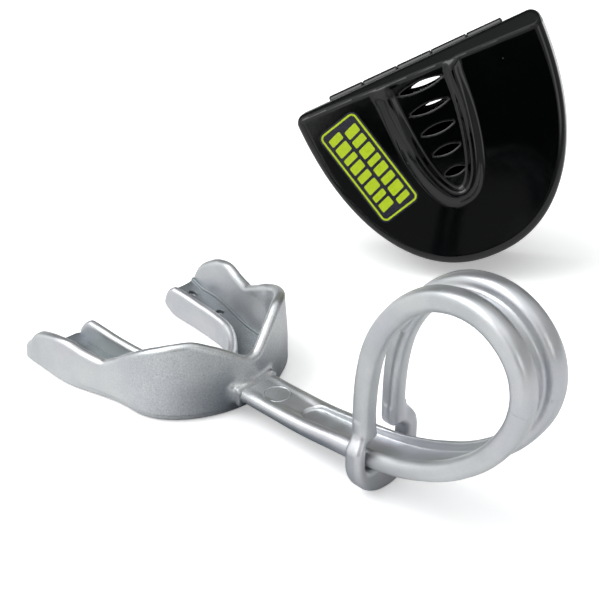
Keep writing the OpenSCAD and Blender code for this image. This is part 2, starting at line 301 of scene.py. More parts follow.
class Graph:
    """Node tree with an output, one shader and a texture coordinate."""

    def __init__(self, owner, output, shader, coords):
        owner.use_nodes = True
        self.tree = owner.node_tree
        self.tree.nodes.clear()
        out = self.add(output)
        self.shader = self.add(shader)
        self.tree.links.new(self.shader.outputs[0], out.inputs[0])
        self.coords = self.add("ShaderNodeTexCoord").outputs[coords]

    def add(self, kind, **props):
        node = self.tree.nodes.new(kind)
        for key, value in props.items():
            setattr(node, key, value)
        return node

    def put(self, socket, value):
        """Link a socket, or set a number or an RGB colour."""
        if isinstance(value, bpy.types.NodeSocket):
            self.tree.links.new(value, socket)
        else:
            socket.default_value = (*value, 1) if isinstance(value, tuple) else value

    def math(self, operation, a, b=0.0):
        node = self.add("ShaderNodeMath", operation=operation)
        self.put(node.inputs[0], a)
        self.put(node.inputs[1], b)
        return node.outputs[0]

    def span(self, value, start, end, low=0.0, high=1.0):
        """Smooth step from low at start to high at end."""
        node = self.add("ShaderNodeMapRange", interpolation_type="SMOOTHSTEP")
        for key, number in (("Value", value), ("From Min", start), ("From Max", end),
                            ("To Min", low), ("To Max", high)):
            self.put(node.inputs[key], number)
        return node.outputs[0]

    def xyz(self, vector=None):
        node = self.add("ShaderNodeSeparateXYZ")
        self.put(node.inputs[0], vector or self.coords)
        return node.outputs

    def set(self, **values):
        for key, value in values.items():
            self.put(self.shader.inputs[key.replace("_", " ")], value)


class Surface(Graph):
    """Material on a Principled shader, in object coordinates."""

    def __init__(self, name):
        self.material = bpy.data.materials.new(name)
        super().__init__(self.material, "ShaderNodeOutputMaterial",
                         "ShaderNodeBsdfPrincipled", "Object")

    def math(self, operation, a, b=0.0):
        out = super().math(operation, a, b)
        out.node.inputs[2].default_value = 0.0
        return out

    def noise(self, scale, detail=2.0, rough=0.5, distortion=0.0):
        node = self.add("ShaderNodeTexNoise")
        for key, value in (("Scale", scale), ("Detail", detail), ("Roughness", rough),
                           ("Distortion", distortion), ("Vector", self.coords)):
            self.put(node.inputs[key], value)
        return node.outputs["Fac"]

    def mix(self, share, a, b):
        node = self.add("ShaderNodeMix", data_type="RGBA")
        for i, value in ((0, share), (6, a), (7, b)):
            self.put(node.inputs[i], value)
        return node.outputs[2]

    def bump(self, height, strength, distance, normal=None):
        node = self.add("ShaderNodeBump")
        self.put(node.inputs["Strength"], strength)
        self.put(node.inputs["Distance"], distance)
        self.put(node.inputs["Height"], height)
        if normal is not None:
            self.put(node.inputs["Normal"], normal)
        return node.outputs[0]


# ---------------------------------------------------------------------------
# Materials
# ---------------------------------------------------------------------------


def silver(name, light, dark, lilac, speckle, rough, metal):
    """Pearl-silver moulded rubber: mica flakes, cloudy tint, fine moulding grain."""
    mat = Surface(name)
    x = mat.xyz()[0]
    cloud = mat.span(mat.noise(scale=70, detail=3, rough=0.55), start=0.35, end=0.68)
    tint = mat.span(mat.noise(scale=38, distortion=0.6), start=0.42, end=0.66)
    colour = mat.mix(cloud, light, dark)
    colour = mat.mix(mat.math("MULTIPLY", tint, 0.4), colour, lilac)
    # mica flakes, strongest on the front wall
    front = mat.span(x, start=-0.034, end=-0.010, low=0.25)
    front = mat.math("MULTIPLY", front, mat.span(x, start=0.018, end=0.001, low=0.15))
    amount = mat.math("MULTIPLY", front, speckle)
    mica = mat.noise(scale=2300, detail=1)
    flake = mat.math("MULTIPLY", mat.span(mica, start=0.52, end=0.72), amount)
    colour = mat.mix(flake, colour, tuple(c * 0.55 for c in dark))
    flake = mat.math("MULTIPLY", mat.span(mica, start=0.46, end=0.28), amount)
    colour = mat.mix(flake, colour, (0.92, 0.93, 0.96))
    # faint handling smudges change the gloss
    smudge = mat.noise(scale=120, detail=4, rough=0.6)
    gloss = mat.span(smudge, start=0.3, end=0.75, low=rough - 0.05, high=rough + 0.07)
    gloss = mat.math("ADD", gloss, mat.math("MULTIPLY", mica, 0.05))
    grain = mat.noise(scale=2100, rough=0.6)
    ripple = mat.noise(scale=260)
    normal = mat.bump(ripple, strength=0.05, distance=0.0003)
    normal = mat.bump(grain, strength=0.10, distance=0.0001, normal=normal)
    # mirrored from over 70 mm away, as in the case's gloss, the silver shows dark
    path = mat.add("ShaderNodeLightPath").outputs
    far = mat.math("GREATER_THAN", path["Ray Length"], 0.07)
    away = mat.math("MULTIPLY", path["Is Glossy Ray"], far)
    colour = mat.mix(mat.math("MULTIPLY", away, 0.85), colour, (0.0, 0.0, 0.0))
    mat.set(Base_Color=colour, Metallic=metal, Roughness=gloss, Normal=normal,
            Specular_IOR_Level=0.5, Sheen_Weight=0.05)
    return mat.material


def gloss_black(name, rough, spec, tone, peel):
    """Injection-moulded black with a little orange peel, smudges and dust."""
    mat = Surface(name)
    wave = mat.noise(scale=55)
    fine = mat.noise(scale=420)
    normal = mat.bump(wave, strength=0.05 * peel, distance=0.0006)
    normal = mat.bump(fine, strength=0.02 * peel, distance=0.0002, normal=normal)
    smudge = mat.noise(scale=45, detail=5, rough=0.65, distortion=0.4)
    smudge = mat.span(smudge, start=0.45, end=0.8, high=0.06)
    gloss = mat.math("ADD", smudge, rough)
    # a dust speck at the middle of a few cells
    dust = mat.add("ShaderNodeTexVoronoi", feature="F1")
    mat.put(dust.inputs["Scale"], 330)
    mat.put(dust.inputs["Vector"], mat.coords)
    pick = mat.xyz(dust.outputs["Color"])[0]
    speck = mat.math("MULTIPLY", mat.span(dust.outputs["Distance"], start=0.10, end=0.05),
                     mat.span(pick, start=0.975, end=0.985))
    colour = mat.mix(mat.math("MULTIPLY", speck, 0.35), tone, (0.35, 0.35, 0.34))
    mat.set(Base_Color=colour, Roughness=gloss, Normal=normal, Coat_Weight=0.0,
            Coat_Roughness=0.03, Specular_IOR_Level=spec)
    return mat.material


def print_film(name, tone, shade, rough):
    """Printed vinyl: slight mottling in the ink and a fine screen grain."""
    mat = Surface(name)
    mottle = mat.span(mat.noise(scale=900, detail=3, rough=0.6), start=0.35, end=0.7)
    colour = mat.mix(mottle, tone, shade)
    normal = mat.bump(mat.noise(scale=1500), strength=0.1, distance=0.00008)
    gloss = mat.span(mat.noise(scale=300), start=0.3, end=0.7, low=rough - 0.06,
                     high=rough + 0.08)
    mat.set(Base_Color=colour, Roughness=gloss, Normal=normal, Coat_Weight=0.25,
            Coat_Roughness=0.15)
    return mat.material


def steel(name):
    mat = Surface(name)
    grain = mat.noise(scale=6000, rough=0.6)
    mat.set(Base_Color=mat.mix(grain, (0.42, 0.42, 0.44), (0.58, 0.58, 0.6)), Metallic=1.0,
            Roughness=mat.span(grain, start=0.3, end=0.7, low=0.26, high=0.4),
            Normal=mat.bump(grain, strength=0.15, distance=0.0001))
    return mat.material


def floor_paper(name):
    """Pale paper to the camera; other rays see a painted shadow, a soft dark patch by the
    strap's root that darkens the front of the tray.
    """
    mat = Surface(name)
    pale = mat.mix(mat.noise(scale=3), (0.95, 0.95, 0.95), (0.965, 0.965, 0.965))
    off = mat.add("ShaderNodeVectorMath", operation="DISTANCE")
    mat.put(off.inputs[0], mat.coords)
    off.inputs[1].default_value = (0.015, 0.001, 0.0)
    # painted shadow: a dark patch, seen only by reflected and bounced rays, stands in for the
    # strap's shade on the tray's front
    bounce_with_painted_shadow = mat.mix(mat.span(off.outputs["Value"], start=0.008, end=0.058),
                   (0.05, 0.07, 0.095), (0.72, 0.72, 0.72))
    seen = mat.add("ShaderNodeLightPath").outputs["Is Camera Ray"]
    mat.set(Base_Color=mat.mix(seen, bounce_with_painted_shadow, pale), Roughness=0.9, Specular_IOR_Level=0.15,
            Emission_Color=pale, Emission_Strength=mat.math("MULTIPLY", seen, 0.35))
    return mat.material


SILVER = silver("silver_pearl", light=(0.67, 0.685, 0.69), dark=(0.575, 0.60, 0.615),
                lilac=(0.60, 0.59, 0.65), speckle=0.35, rough=0.34, metal=0.87)
# painted shade: the bite pad's colours are set dark to stand in for the shade on the floor of
# the tray
PAD_PAINTED_SHADE = silver("silver_pad_painted_shade", light=(0.20, 0.225, 0.23), dark=(0.16, 0.185, 0.195),
             lilac=(0.19, 0.20, 0.22), speckle=0.25, rough=0.38, metal=0.75)
BLACK = gloss_black("case_gloss", rough=0.07, spec=0.5, tone=(0.0006, 0.0009, 0.0010), peel=1.0)
SATIN = gloss_black("case_satin", rough=0.26, spec=0.14, tone=(0.003, 0.0035, 0.0035), peel=0.6)
LIME = print_film("badge_lime", tone=(0.50, 0.66, 0.010), shade=(0.44, 0.60, 0.008), rough=0.32)
NAVY = print_film("badge_navy", tone=(0.010, 0.010, 0.022), shade=(0.016, 0.016, 0.032),
                  rough=0.25)
STEEL = steel("pin_steel")

# ---------------------------------------------------------------------------
# Mouthguard tray: a half ellipse in front, then two spreading arms
# ---------------------------------------------------------------------------
FRONT_X, ARC_DEPTH, ARC_HALF, ARM_SPREAD = -2.2, 20.0, 27.0, 5.0
ARC_X = FRONT_X - ARC_DEPTH
TAIL_X = -76  # the outlines run past the trimmed arm ends

arm = [(x, float(ARC_HALF + ARM_SPREAD * ease((ARC_X - x) / 28)))
       for x in np.linspace(ARC_X, TAIL_X, 48)[1:]]
OUTLINE = np.array(
    [(x, -y) for x, y in reversed(arm)]
    + [(ARC_X + ARC_DEPTH * math.cos(t), ARC_HALF * math.sin(t))
       for t in np.linspace(-math.pi / 2, math.pi / 2, 97)] + arm)
OUT_MID = np.cumsum(np.linalg.norm(np.diff(OUTLINE, axis=0), axis=1))[-1] / 2

# tongue side, +y half (x, y): straight arm, fairly tight corner
TONGUE_HALF = [(TAIL_X, 14.1), (-58, 14.2), (-44, 14.0), (-34, 13.4), (-28, 12.3),
               (-23.2, 9.8), (-19.2, 6.0), (-17.3, 2.4)]
TONGUE = spline(TONGUE_HALF + [(x, -y) for x, y in reversed(TONGUE_HALF)], 10)

# outer wall: a place on the outline (x, y) and the rim height there
RIM = [(-2.2, 0.0, 16.6), (-4.0, 5.2, 19.7), (-5.6, 9.0, 22.0), (-8.0, 16.0, 24.4),
       (-10.5, 19.5, 24.0), (-13.5, 23.6, 22.9), (-18.0, 26.0, 21.4), (-23.0, 26.9, 19.3),
       (-28.5, 27.8, 15.6), (-32.7, 28.8, 13.6), (-38.0, 30.0, 14.2), (-45.0, 31.2, 15.7),
       (-50.0, 31.7, 14.9), (-55.0, 32.0, 12.4), (-58.5, 32.0, 9.6), (-61.5, 32.0, 6.6),
       (-72.0, 32.0, 5.0)]
# oval holes through the floor of the +y arm (x, y)
FLOOR_HOLES = ((-54.6, 22.8), (-40.7, 22.0))


def plan_fields(x, y):
    """Distance to the outline, arc length from its front, distance to the tongue side."""
    outer, arc = poly_field(x, y, OUTLINE)
    return outer, np.abs(arc - OUT_MID), poly_field(x, y, TONGUE)[0]


def front_arc(x, y):
    arc = poly_field(np.array([x]), np.array([y]), OUTLINE)[1]
    return abs(float(arc[0]) - OUT_MID)


rim_of = pchip([0.0] + [front_arc(x, y) for x, y, _ in RIM[1:]], [row[2] for row in RIM])
tongue_top = pchip([-76, -60.5, -58.1, -56, -53.9, -51, -42.5, -33.6, -27.8, -20.7, -16],
                   [4.8, 5.2, 6.4, 8.3, 9.4, 9.4, 9.1, 9.0, 8.9, 7.8, 7.2])


def underside(x, y):
    """The tongue-side corner of each arm turns up at its end."""
    t = np.clip((-52.2 - x) / 8.4, 0, 1.2)
    return 5.2 * t * t * ease((27 - np.abs(y)) / 9)


def arm_end(y):
    """x of the arm ends; the outer wall of the -y arm reaches a little further."""
    off = np.abs(y)
    return (-58.0 - 1.9 * ease((off - 13.5) / 5)
            - (1.3 + 3.9 * ease(-y / 10)) * ease((off - 22.5) / 9.5))


def floor_lift(x):
    return 1.6 * ease((-53 - x) / 7)


def guard_field(x, y, z):
    outer, arc, tongue = plan_fields(x, y)
    near = ease(-y / 10)
    along = arc - 1.7 * near * ease((arc - 58) / 14)
    along = np.sqrt(along * along + 0.35) - 0.59
    # the +y arm's valley is a little shallower
    rim = (rim_of(along)
           - near * (0.4 + 1.2 * ease((along - 28) / 14) - 1.5 * ease((along - 66) / 8))
           + (1 - near) * 0.9 * np.exp(-((along - 46) / 8) ** 2))
    slope = (rim_of(along + 0.4) - rim_of(along - 0.4)) / 0.8
    # the wall leans in a little towards its top, and stands forward at the middle
    face = outer + 0.7 * ease((z - 8.5) / 15) * ease((50 - arc) / 30)
    face = face - 0.7 * np.exp(-(arc / 13) ** 2)
    face = face - 1.6 * np.exp(-(arc / 8.5) ** 2) * ease((z - 2) / 5)
    # mould parting step low on the outer face
    face = face + 0.7 * ease((2.1 - z) / 0.3) * ease((62 - arc) / 20)
    thick = 3.3 + 1.8 * ease((15 - z) / 12)
    wall = round_and(np.maximum(face, -(face + thick)),
                     (z - rim) / np.sqrt(1 + slope * slope), 1.55)
    inner = round_and(np.maximum(-tongue, tongue - 2.9),
                      (z - tongue_top(x) - 1.3 * near) / 1.02, 1.35)
    plate = np.maximum(np.maximum(face + 0.9, 0.9 - tongue), z - 2.9 - floor_lift(x))
    dist = smin(smin(wall, plate, 1.3), inner, 1.3)
    dist = round_and(dist, (underside(x, y) - z) / np.sqrt(1 + 0.3 * ease((-53 - x) / 6)), 0.9)
    dist = round_and(dist, arm_end(y) + 0.12 * (z - 3) + 0.25 * np.maximum(z - 4, 0) - x, 0.9)
    for hole_x, hole_y in FLOOR_HOLES:
        hole = 0.9 - np.hypot((x - hole_x) / 1.35, y - hole_y)
        dist = np.maximum(dist, np.minimum(hole, z - 1.2))
    # collar round the root of the strap, with a thin bevelled lip
    dist = smin(dist, round_box(x, y, z, (-2.4, -0.15, 6.7), (3.1, 6.9, 2.2), 0.8), 2.6)
    lip = round_box(x, y, z, (0.5, -0.2, 6.8), (0.9, 7.05, 2.75), 0.5)
    return smin(dist, smax(lip, (x + z - 9.95) / 1.4142, 0.3), 0.35)


def pad_field(x, y, z):
    outer, _, tongue = plan_fields(x, y)
    lift = floor_lift(x)
    pad = round_and(np.maximum(outer + 5.0, 2.6 - tongue), z - 4.05 - lift, 0.25)
    # fine raised line where the pad meets the outer wall
    lip = round_and(np.maximum(outer + 4.6, -(outer + 5.9)), z - 4.85 - lift, 0.45)
    dist = np.maximum(smin(pad, lip, 0.2), 2.2 + lift - z)
    dist = round_and(dist, arm_end(y) + 0.9 - x, 0.5)
    for hole_x, hole_y in FLOOR_HOLES:
        dist = smax(dist, 1.0 - np.hypot((x - hole_x) / 1.35, y - hole_y), 0.3)
    return dist


guard = solid_object("mouthguard_body", guard_field, (-66.5, -34.5, -1.2), (3.2, 34.5, 26.6),
                     0.42, SILVER)
pad = solid_object("bite_pad", pad_field, (-64.6, -30.5, 1.4), (-5.0, 30.5, 7.2), 0.36, PAD_PAINTED_SHADE,
                   rounds=1)

# ---------------------------------------------------------------------------
# Strap, loop and keeper ring: two rails joined by a web
# ---------------------------------------------------------------------------
# centreline (x, z), from the tray out and round the loop
LINE = [(-1.5, 6.69), (0.9, 6.9), (12, 7.4), (24, 8.1), (35, 9.5), (43.5, 10.65),
        (52, 12.35), (59.7, 14.8), (65, 17.1), (71.3, 20.3), (77.2, 24.3), (85, 31.5),
        (91, 40.4), (93.3, 46.5), (93.9, 52.5), (92.4, 58.6), (88.6, 63.6), (82.8, 67.1),
        (76, 68.1), (67.5, 66.2), (60.4, 61.6), (55.2, 55.8), (51.3, 49.6), (48.9, 43.6),
        (47.3, 36), (46.6, 28), (46.5, 17.6)]
PATH = spline(LINE, 11)


def path_arc(x, z):
    return float(poly_field(np.array([x]), np.array([z]), PATH, False)[1][0])


STOP = [path_arc(*point) for point in LINE]  # arc length at each centreline point
RING, END = STOP[5] + 4, STOP[-1]
SEAM = STOP[13] + 2.5  # where the strap ends and the loop piece begins

# sizes against arc length; heights are along the centreline's normal
rail_radius = pchip([0, STOP[2], STOP[3], STOP[5], STOP[7], STOP[9], STOP[13], STOP[17],
                     STOP[21], END],
                    [1.86, 1.95, 2.3, 2.75, 2.75, 2.72, 2.8, 3.0, 2.9, 2.68])
band_half = pchip([0, STOP[4], RING, STOP[8], STOP[10], END], [6.75, 6.8, 7.0, 7.9, 8.0, 8.0])
rail_power = pchip([0, STOP[4], STOP[8], STOP[11], STOP[14], END],
                   [2.3, 2.2, 2.1, 2.5, 2.9, 2.5])
web_top = pchip([0, STOP[4], RING, STOP[7], STOP[9], STOP[12], END],
                [1.66, 1.62, 1.3, 0.7, 0.7, 1.4, 1.3])
web_base = pchip([0, STOP[4], RING, STOP[8], STOP[9] + 1, STOP[11] + 1, STOP[14], STOP[18],
                  END], [-1.8, -1.95, -2.1, -2.3, -2.1, 0.0, 0.25, 0.1, -0.3])
fillet = pchip([0, STOP[4], STOP[7], STOP[11], STOP[14], STOP[18], END],
               [0.5, 0.6, 0.9, 0.9, 0.9, 1.3, 1.3])
panel_half = pchip([0, STOP[4], RING, STOP[7], STOP[9], END], [3.45, 3.5, 4.4, 5.0, 4.9, 4.0])
panel_floor = pchip([0, STOP[3], STOP[4], RING, STOP[7], END], [1.0, 1.0, 0.9, 0.5, 0.1, 0.1])
PANEL_START = 22.0
SLOT_START, SLOT_HALF = STOP[22] + 1.0, 2.5


def round_end(arc, off, start, half):
    """Plan distance of a strip with a half-round end at start."""
    end = start + half
    return np.where(arc < end, np.hypot(arc - end, off) - half, off - half)


def band_field(x, y, z):
    """Distance to the whole band, and the arc length along it."""
    height, arc = poly_field(x, z, PATH, False)
    off = np.abs(y)
    radius, power = rail_radius(arc), rail_power(arc)
    centre = band_half(arc) - radius
    rail = (np.maximum(np.abs(off - centre), 1e-4) ** power
            + np.maximum(np.abs(height), 1e-4) ** power) ** (1 / power) - radius
    web = np.maximum(np.maximum(height - web_top(arc), web_base(arc) - height), off - centre)
    dist = smin(rail, web, fillet(arc))
    # sunk panel along the middle of the strap
    panel = round_end(arc, off, PANEL_START, panel_half(arc))
    depth = panel_floor(arc) - height + 3.0 * ease((arc - STOP[10]) / 8)
    dist = smax(dist, -np.maximum(panel, depth), 0.35)
    # long slot between the rails of the returning side
    return smax(dist, -round_end(arc, off, SLOT_START, SLOT_HALF), 0.9), arc


def strap_field(x, y, z):
    dist, arc = band_field(x, y, z)
    dist = dist + 0.05 * ease((arc - SEAM) / 0.5)
    dist = np.maximum(dist, arc - SEAM - 2.6)
    return round_and(dist, 0.2 - arc, 0.4)


def ring_field(x, y, z):
    """Upright ring, round below and necked in above, with a rounded window."""
    far = ease((y + 2) / 4)
    off = np.abs(y - 0.9 * far)
    low = np.hypot(off, z - 10.8) - 10.8
    neck = 10.8 - 2.8 * ease((z - 14.4 - 2.4 * far) / 5.4)
    high = (off - neck) / np.sqrt(1 + 0.45 * ease((z - 14.4) / 2) * ease((22.4 - z) / 2))
    out = np.where(z < 10.8, low, high)
    hole_y, hole_z = np.abs(y) - 5.25, np.abs(z - 12.55) - 2.45
    hole = (np.hypot(np.maximum(hole_y, 0), np.maximum(hole_z, 0))
            + np.minimum(np.maximum(hole_y, hole_z), 0) - 2.0)
    hole = smin(hole, np.maximum(np.abs(y) - SLOT_HALF, 12 - z), 1.6)
    dist = np.maximum(smax(out, -hole, 0.5), z - 22.6)
    # thinner towards the top, where it runs into the rails
    thin = ease((z - 15) / 6)
    return round_and(dist, np.abs(x - 47.4 + 0.75 * thin) - 2.6 + 0.75 * thin, 1.5)


def keeper_field(x, y, z):
    dist, arc = band_field(x, y, z)
    dist = np.maximum(dist, SEAM - arc)
    dist = np.maximum(dist, np.where(arc > STOP[20], 18.2 - z, -9.0))
    return smin(dist, ring_field(x, y, z), 0.9)


def ring_mark():
    """Thin raised ring lying on the strap near its root."""
    radius, wire, around, section = 3.7, 0.17, 110, 10
    tilt = math.atan2(LINE[2][1] - LINE[1][1], LINE[2][0] - LINE[1][0])
    verts, faces = [], []
    for i in range(around):
        for j in range(section):
            turn, roll = 2 * math.pi * i / around, 2 * math.pi * j / section
            reach, up = radius + wire * math.cos(roll), wire * math.sin(roll)
            ahead = reach * math.cos(turn)
            verts.append((9.0 + ahead * math.cos(tilt) - up * math.sin(tilt),
                          -0.2 + reach * math.sin(turn),
                          8.93 + ahead * math.sin(tilt) + up * math.cos(tilt)))
            here, there, k = i * section, (i + 1) % around * section, (j + 1) % section
            faces.append((here + j, there + j, there + k, here + k))
    return mesh_object("strap_mark", verts, faces, [SILVER])


strap = solid_object("strap_band", strap_field, (-2.2, -9.2, 3.6), (98.0, 9.2, 55.0), 0.46,
                     SILVER)
keeper = solid_object("loop_and_ring", keeper_field, (42.4, -12.0, -1.0), (98.0, 12.0, 72.2),
                      0.46, SILVER)
mark = ring_mark()

# ---------------------------------------------------------------------------
# Case, in its own frame: x along the hinge edge, y towards the hinge, z out of the lid
# ---------------------------------------------------------------------------


def turned(axis, degrees):
    return np.array(Matrix.Rotation(math.radians(degrees), 3, axis))


CASE = (turned("Z", 36) @ turned("X", 72) @ turned("Z", 28.4), np.array([-40.4, 106.1, 61.05]))
CASE_HALF, CASE_DEPTH, CASE_POWER = 41.6, 65.0, 2.2
CASE_WALL = 2.0
LID_ROUND, BASE_ROUND = 2.4, 4.5
LID_VENTS, BASE_VENTS = 5, 2
KNUCKLES, KNUCKLE_LEN, HINGE_Y = 5, 12, 0.4


def d_outline(x, y, rear=0.0):
    """Distance to the D outline: a squarish half oval closed by the hinge edge."""
    across = np.maximum(np.abs(x) / CASE_HALF, 1e-4)
    deep = np.maximum(-np.minimum(y, 2.0) / CASE_DEPTH, 1e-4)
    total = across ** CASE_POWER + deep ** CASE_POWER
    level = total ** (1 / CASE_POWER)
    grad_x = level / total * across ** (CASE_POWER - 1) / CASE_HALF
    grad_y = level / total * deep ** (CASE_POWER - 1) / CASE_DEPTH
    oval = (level - 1) / np.maximum(np.hypot(grad_x, grad_y), 1 / 66.0)
    return round_and(oval, y - rear, 3.5)


def lid_top(x, y):
    return 11.9 + 0.35 * (1 - (x / CASE_HALF) ** 2) * (1 - ((y + 26) / 40) ** 2)


# edge of the sunk vent panel (x, y)
SHIELD = spline([(10.9, -1.5), (10.8, -8), (10.2, -16), (9.0, -24), (7.0, -32), (4.4, -38.4),
                 (1.5, -42.0), (-1.6, -43.1), (-4.6, -42.0), (-7.4, -38.0), (-9.6, -31.5),
                 (-10.9, -23), (-11.4, -14), (-11.5, -7), (-11.4, -1.5)], 14, closed=True)


def boss_height(x, y):
    """Raised rim round the sunk vent panel, with broad fillets outside."""
    dist = poly_field(x, y, SHIELD)[0]
    outer = 1 - ease(dist / (2.9 + 1.2 * ease(-x / 8)))
    inner = 1 - 0.95 * ease((-dist - 0.9) / 2.1)
    rise = ease((-y - 0.5) / 5.5)
    tip = 0.55 + 0.45 * ease((-8 - y) / 20)
    left = 1 - 0.35 * ease(-x / 10) * ease((y + 26) / 18)
    return 2.2 * np.where(dist > 0, outer, inner) * rise * tip * left


def vent(x, y, i):
    """Lens-shaped opening; they shorten away from the hinge."""
    length, width = 14.8 - 1.95 * i, 2.5 - 0.08 * i
    mid_y, mid_x = -6.4 - 7.15 * i, -0.3 - 0.2 * i
    radius = (length * length / 4 + width * width / 4) / width
    return np.maximum(np.hypot(x - mid_x, y - mid_y + radius - width / 2),
                      np.hypot(x - mid_x, y - mid_y - radius + width / 2)) - radius


def hinge_row(x, y, z, first, radius, half, join):
    """Every second knuckle along the hinge, starting at first."""
    dist = 1e9
    for i in range(first, KNUCKLES, 2):
        centre = -KNUCKLES * KNUCKLE_LEN / 2 + KNUCKLE_LEN * (i + 0.5)
        dist = np.minimum(dist, join(np.hypot(y - HINGE_Y, z) - radius,
                                     np.abs(x - centre) - half))
    return dist


def add_hinge(dist, x, y, z, own, other):
    """Clear the other half's knuckles and add this half's own."""
    dist = np.maximum(dist, -hinge_row(x, y, z, other, 2.1, 6.04, np.maximum))
    barrels = hinge_row(x, y, z, own, 1.95, 5.96, lambda a, b: round_and(a, b, 0.12))
    return smin(dist, barrels, 0.3)


def bevel_edge(x):
    return -2.3 - 0.045 * x


def lid_field(x, y, z):
    outline = d_outline(x, y, 1.15 * ease((z - 2.2) / 1.6)) + 0.04 * z
    top = lid_top(x, y)
    plain = round_and(outline, z - top, LID_ROUND)
    body = round_and(outline, z - top - boss_height(x, y), LID_ROUND)
    bevel = (y - bevel_edge(x)) * 0.80 + (z - 12.1) * 0.60
    body = smax(body, bevel, 0.7)
    dist = np.maximum(body, -(smax(plain, bevel, 0.7) + CASE_WALL))
    dist = smax(dist, 0.02 - z, 0.35)
    for i in range(LID_VENTS):
        dist = smax(dist, -np.maximum(vent(x, y, i), 4 - z), 0.45)
    return add_hinge(dist, x, y, z, own=1, other=0)


def base_field(x, y, z):
    outline = d_outline(x, y) - 0.04 * z
    body = round_and(outline, -13.95 - z, BASE_ROUND)
    dist = np.maximum(body, -(body + CASE_WALL))
    dist = smax(dist, z + 0.02, 0.35)
    # lip that stands inside the lid
    lip = round_and(np.abs(outline + 2.85) - 0.6, z - 1.6, 0.3)
    lip = np.maximum(np.maximum(lip, -3 - z), np.where(z > -0.3, y + 3.6, -1))
    dist = smin(dist, lip, 0.2)
    for i in range(BASE_VENTS):
        dist = smax(dist, -np.maximum(vent(x, y, i) + 0.35 + 0.4 * i, z + 6), 0.45)
    return add_hinge(dist, x, y, z, own=0, other=1)


def build_lid():
    """Gloss lid with a satin band on the bevel along the hinge."""
    verts, quads = surface(lid_field, (-43.5, -66.5, -3.2), (43.5, 3.6, 16.6), 0.44)
    x, y, z = verts[quads].mean(1).T
    band = (y > bevel_edge(x) - 0.15) & (z > 2.6) & (z < 13.5)
    return mesh_object("case_top", verts, quads, [BLACK, SATIN], band.astype(int), place=CASE)


lid = build_lid()
case = solid_object("case_bottom", base_field, (-43.5, -66.5, -15.2), (43.5, 3.6, 2.8), 0.5,
                    BLACK, place=CASE)

# ---------------------------------------------------------------------------
# Badge on the lid: a rounded plate, a lime border and two columns of slanted bars
# ---------------------------------------------------------------------------
BADGE_X, BADGE_Y, BADGE_TURN = -25.5, -23.1, math.radians(13.7)
BADGE_HALF_X, BADGE_HALF_Y, BADGE_CORNER = 7.4, 17.6, 2.4
PLATE_UP, PRINT_UP, SUNK = 0.10, 0.17, -0.25  # heights above the lid
BAR_COLUMNS = ((-5.2, -0.55, 0.9), (0.55, 5.2, 0.0))  # x from, x to, rise of the first bar
BAR_HEIGHTS = (2.9, 2.1, 3.4, 2.5)
BAR_START, BAR_LAST, BAR_LIMIT, BAR_GAP, BAR_LEAN = -15.1, 13.4, 15.2, 0.95, 0.55


def inset_loop(inset, least=0.0):
    """Badge outline moved inwards, with a least corner radius."""
    width, height = BADGE_HALF_X - inset, BADGE_HALF_Y - inset
    radius = max(BADGE_CORNER - inset, least)
    out = []
    for x, y, start in ((width - radius, height - radius, 0),
                        (-width + radius, height - radius, 90),
                        (-width + radius, -height + radius, 180),
                        (width - radius, -height + radius, 270)):
        for k in range(9):
            angle = math.radians(start + 90 * k / 8)
            out.append((x + radius * math.cos(angle), y + radius * math.sin(angle)))
    return out


def on_lid(x, y, up):
    cos, sin = math.cos(BADGE_TURN), math.sin(BADGE_TURN)
    x, y = BADGE_X + x * cos - y * sin, BADGE_Y + x * sin + y * cos
    return x, y, float(lid_top(x, y)) + up


def film(name, loops, up, mat, fill=True):
    """Closed thin film: concentric loops (outer first) on top, walls down into the lid."""
    count, low = len(loops[0]), len(loops) * len(loops[0])
    verts = [on_lid(x, y, level) for level in (up, SUNK) for loop in loops for x, y in loop]
    faces = []
    rings = [(ring + i, ring + (i + 1) % count)
             for ring in range(0, low - count, count) for i in range(count)]
    faces += [(a, b, b + count, a + count) for a, b in rings]
    faces += [(low + a, low + a + count, low + b + count, low + b) for a, b in rings]
    last = low - count
    for i in range(count):
        k = (i + 1) % count
        faces.append((i, low + i, low + k, k))
        if not fill:
            faces.append((last + i, last + k, low + last + k, low + last + i))
    if fill:
        faces.append(tuple(range(last, low)))
        faces.append(tuple(reversed(range(low + last, low + low))))
    return mesh_object(name, verts, faces, [mat], place=CASE, smooth=False)


badge = [film("badge_plate", [inset_loop(inset, 0.3) for inset in (0, 1.5, 3.5, 5.5)],
              PLATE_UP, NAVY),
         film("badge_border", [inset_loop(inset) for inset in (0.55, 1.15)], PRINT_UP, LIME,
              fill=False)]
bars = 0
for column, (left, right, rise) in enumerate(BAR_COLUMNS):
    y = BAR_START + rise
    k = 0
    while y < BAR_LAST:
        tall = BAR_HEIGHTS[(k + column) % 4]
        if y + tall > BAR_LIMIT:
            break
        corners = np.array([(left, y), (right, y + BAR_LEAN), (right, y + tall + BAR_LEAN),
                            (left, y + tall)])
        centre = np.mean(corners, axis=0)
        loop = [a + (b - a) * t for a, b in zip(corners, np.roll(corners, -1, axis=0))
                for t in (0.08, 0.5, 0.92)]
        inner = [centre + (point - centre) * 0.5 for point in loop]
        badge.append(film(f"badge_bar_{bars:02d}", [loop, inner], PRINT_UP, LIME))
        bars += 1
        k += 1
        y += tall + BAR_GAP

